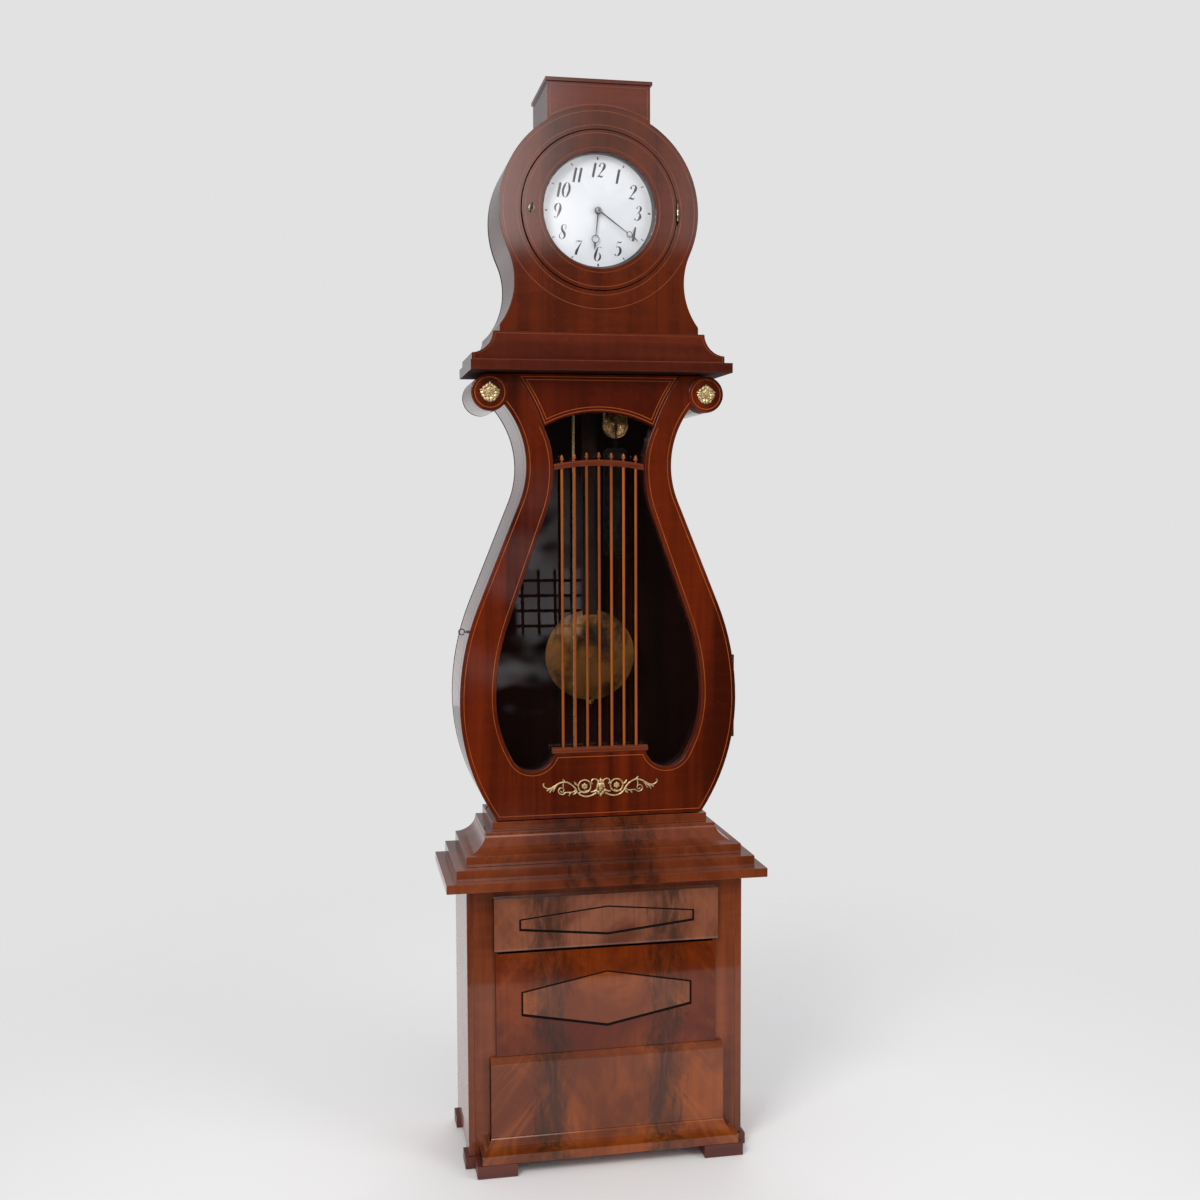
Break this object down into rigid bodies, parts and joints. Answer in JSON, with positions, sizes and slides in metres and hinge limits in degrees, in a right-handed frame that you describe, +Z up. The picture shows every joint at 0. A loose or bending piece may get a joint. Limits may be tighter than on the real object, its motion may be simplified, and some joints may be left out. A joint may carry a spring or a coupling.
{
  "type": "longcase clock",
  "caption": "Longcase clock with a lyre-shaped glazed trunk, strings over the pendulum, a round-topped head with a round dial door, and a panelled base on feet.",
  "frame": {"origin": "on the floor, under the centre of the clock's footprint", "axes": "+X to the clock's right as seen from the front, +Y to its back, +Z up; the dial faces -Y"},
  "size_m": [0.701, 0.314, 2.33],
  "materials": {
    "mahogany": "polished",
    "flame_mahogany": "polished",
    "dark_wood": "matt",
    "string_wood": "polished",
    "brass": "satin",
    "gilt": "satin",
    "blued_steel": "satin",
    "iron": "painted black",
    "rope": "twisted",
    "glass": "clear",
    "dial_white": "gloss",
    "dial_grey": "satin"
  },
  "bodies": {
    "case": {"feet": "dark_wood", "base_bottom_board": "dark_wood", "base_sides": "mahogany", "base_back_board": "dark_wood", "base_front_frame": "mahogany", "frieze_panel": "flame_mahogany", "middle_panel": "flame_mahogany", "panel_fields": "flame_mahogany", "plinth_panel": "flame_mahogany", "cornice_boards": "mahogany", "cove_moulding": "mahogany", "trunk_plinth": "mahogany", "trunk_sides": "mahogany", "upper_back_boards": "dark_wood", "case_hinge_leaves": "brass", "head_slab": "mahogany", "head_plinth": "mahogany", "head_front_board": "mahogany", "head_sides": "mahogany", "top_box": "mahogany", "head_stringing": "string_wood", "dial": "dial_white", "dial_mask": "dial_grey", "movement_plates": "brass", "seat_board": "dark_wood", "weight_rope": "rope", "sheave_rope": "rope", "tail_rope": "rope"},
    "trunk_door": {"trunk_door_frame": "mahogany", "trunk_door_crest": "mahogany", "trunk_door_glass": "glass", "trunk_door_stringing": "string_wood", "scroll_discs": "mahogany", "gilt_mounts": "gilt", "lyre_bridge": "mahogany", "lyre_crossbar": "mahogany", "lyre_strings": "string_wood", "trunk_door_hinge_leaves": "brass"},
    "trunk_lock_key": {"trunk_key": "blued_steel"},
    "head_door": {"head_door_ring": "mahogany", "head_door_glass": "glass", "head_door_stringing": "string_wood", "head_door_fittings": "brass"},
    "head_lock_key": {"head_key": "blued_steel"},
    "great_arbor": {"great_wheel": "brass"},
    "centre_arbor": {"centre_wheel": "brass", "cannon_pinion": "brass", "minute_hand": "blued_steel"},
    "third_arbor": {"third_wheel": "brass"},
    "escape_arbor": {"escape_wheel": "brass"},
    "minute_stud_wheel": {"minute_wheel": "brass"},
    "hour_pipe": {"hour_wheel": "brass", "hour_hand": "blued_steel"},
    "anchor_arbor": {"anchor": "blued_steel"},
    "pendulum": {"pendulum_rod": "mahogany", "pendulum_bob": "brass"},
    "rating_nut_body": {"rating_nut": "brass"},
    "driving_weight": {"weight": "iron"},
    "pulley": {"weight_pulley": "brass"},
    "ring_weight_body": {"ring_weight": "iron"}
  },
  "joints": [
    {"name": "trunk_door_hinge", "type": "hinge", "parent": "case", "child": "trunk_door", "pos_m": [0.312, 0.0005, 0.998], "axis": [0, 0, 1], "range_deg": [0, 100]},
    {"name": "trunk_key_turn", "type": "hinge", "parent": "trunk_door", "child": "trunk_lock_key", "pos_m": [-0.28616, -0.018, 1.1546], "axis": [-1, 0, 0], "range_deg": [0, 90]},
    {"name": "head_door_hinge", "type": "hinge", "parent": "case", "child": "head_door", "pos_m": [0.1699, -0.0558, 2.0549], "axis": [0, 0, 1], "range_deg": [0, 110]},
    {"name": "head_key_turn", "type": "hinge", "parent": "head_door", "child": "head_lock_key", "pos_m": [-0.1485, -0.053, 2.0549], "axis": [0, -1, 0], "range_deg": [0, 90]},
    {"name": "centre_spin", "type": "hinge", "parent": "case", "child": "centre_arbor", "pos_m": [0, 0.037, 2.0579], "axis": [0, 1, 0], "continuous": true},
    {"name": "great_spin", "type": "hinge", "parent": "case", "child": "great_arbor", "pos_m": [-0.01, 0.037, 2.0085], "axis": [0, 1, 0], "continuous": true},
    {"name": "third_spin", "type": "hinge", "parent": "case", "child": "third_arbor", "pos_m": [-0.01859, 0.037, 2.0799], "axis": [0, 1, 0], "continuous": true},
    {"name": "escape_spin", "type": "hinge", "parent": "case", "child": "escape_arbor", "pos_m": [0, 0.037, 2.09477], "axis": [0, 1, 0], "continuous": true},
    {"name": "minute_wheel_spin", "type": "hinge", "parent": "case", "child": "minute_stud_wheel", "pos_m": [0.014, 0.037, 2.0579], "axis": [0, 1, 0], "continuous": true},
    {"name": "hour_spin", "type": "hinge", "parent": "case", "child": "hour_pipe", "pos_m": [0, 0.037, 2.0579], "axis": [0, 1, 0], "continuous": true},
    {"name": "pendulum_swing", "type": "hinge", "parent": "case", "child": "pendulum", "pos_m": [0, 0.087, 2.12027], "axis": [0, 1, 0], "range_deg": [-2.5, 2.5]},
    {"name": "anchor_rock", "type": "hinge", "parent": "case", "child": "anchor_arbor", "pos_m": [0, 0.019, 2.12027], "axis": [0, 1, 0], "range_deg": [-2.5, 2.5]},
    {"name": "rating_nut_turn", "type": "hinge", "parent": "pendulum", "child": "rating_nut_body", "pos_m": [0, 0.087, 0.9845], "axis": [0, 0, 1], "range_deg": [-180, 180]},
    {"name": "weight_fall", "type": "slide", "parent": "case", "child": "driving_weight", "axis": [0, 0, 1], "range_m": [-0.85, 0], "deforming": ["weight_rope"]},
    {"name": "pulley_spin", "type": "hinge", "parent": "driving_weight", "child": "pulley", "pos_m": [0.05, 0.037, 1.603], "axis": [0, 1, 0], "range_deg": [-1960, 0]},
    {"name": "ring_weight_rise", "type": "slide", "parent": "case", "child": "ring_weight_body", "axis": [0, 0, 1], "range_m": [0, 1.7], "deforming": ["tail_rope"]}
  ],
  "couplings": [
    {"joint": "great_spin", "follows": "centre_spin", "ratio": -0.2},
    {"joint": "third_spin", "follows": "centre_spin", "ratio": -8},
    {"joint": "escape_spin", "follows": "centre_spin", "ratio": 60},
    {"joint": "minute_wheel_spin", "follows": "centre_spin", "ratio": -0.33333},
    {"joint": "hour_spin", "follows": "centre_spin", "ratio": 0.083333},
    {"joint": "anchor_rock", "follows": "pendulum_swing", "ratio": 1},
    {"joint": "pulley_spin", "follows": "weight_fall", "rad_per_m": 40},
    {"joint": "ring_weight_rise", "follows": "weight_fall", "ratio": -2}
  ]
}
